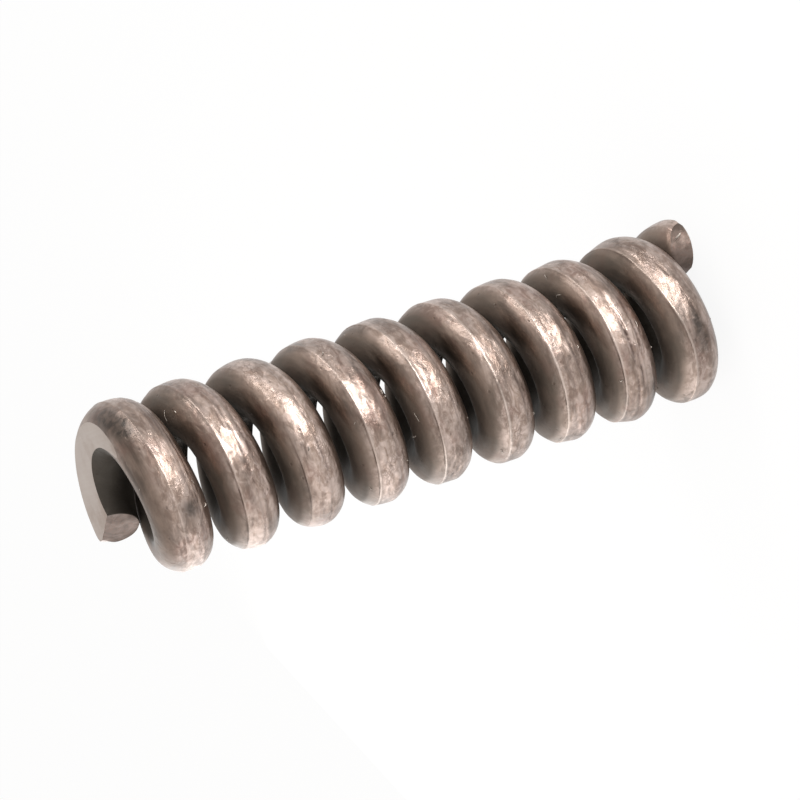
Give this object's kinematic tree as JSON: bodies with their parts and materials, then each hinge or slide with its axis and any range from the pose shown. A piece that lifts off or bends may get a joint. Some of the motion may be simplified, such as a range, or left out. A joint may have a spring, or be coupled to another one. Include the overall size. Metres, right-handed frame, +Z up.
{
  "type": "compression valve spring",
  "caption": "Stout close-wound compression spring of heavy round wire, with flat ground ends to seat squarely in a valve.",
  "frame": {"origin": "in the plane of the foot seat, straight under the middle of the coil", "axes": "+Z up, square to both ground seats; the foot wire tip lies towards +X, turned 36 degrees towards -Y; the coil's own axis leans 2.2 degrees off +Z, towards +X turned 62 degrees towards +Y"},
  "size_m": [0.0101, 0.0106, 0.0342],
  "materials": {
    "spring_steel": "worn brown-grey oil-tempered wire, burnished on the outside of the turns"
  },
  "bodies": {
    "root": {"spring": "spring_steel"}
  },
  "joints": []
}
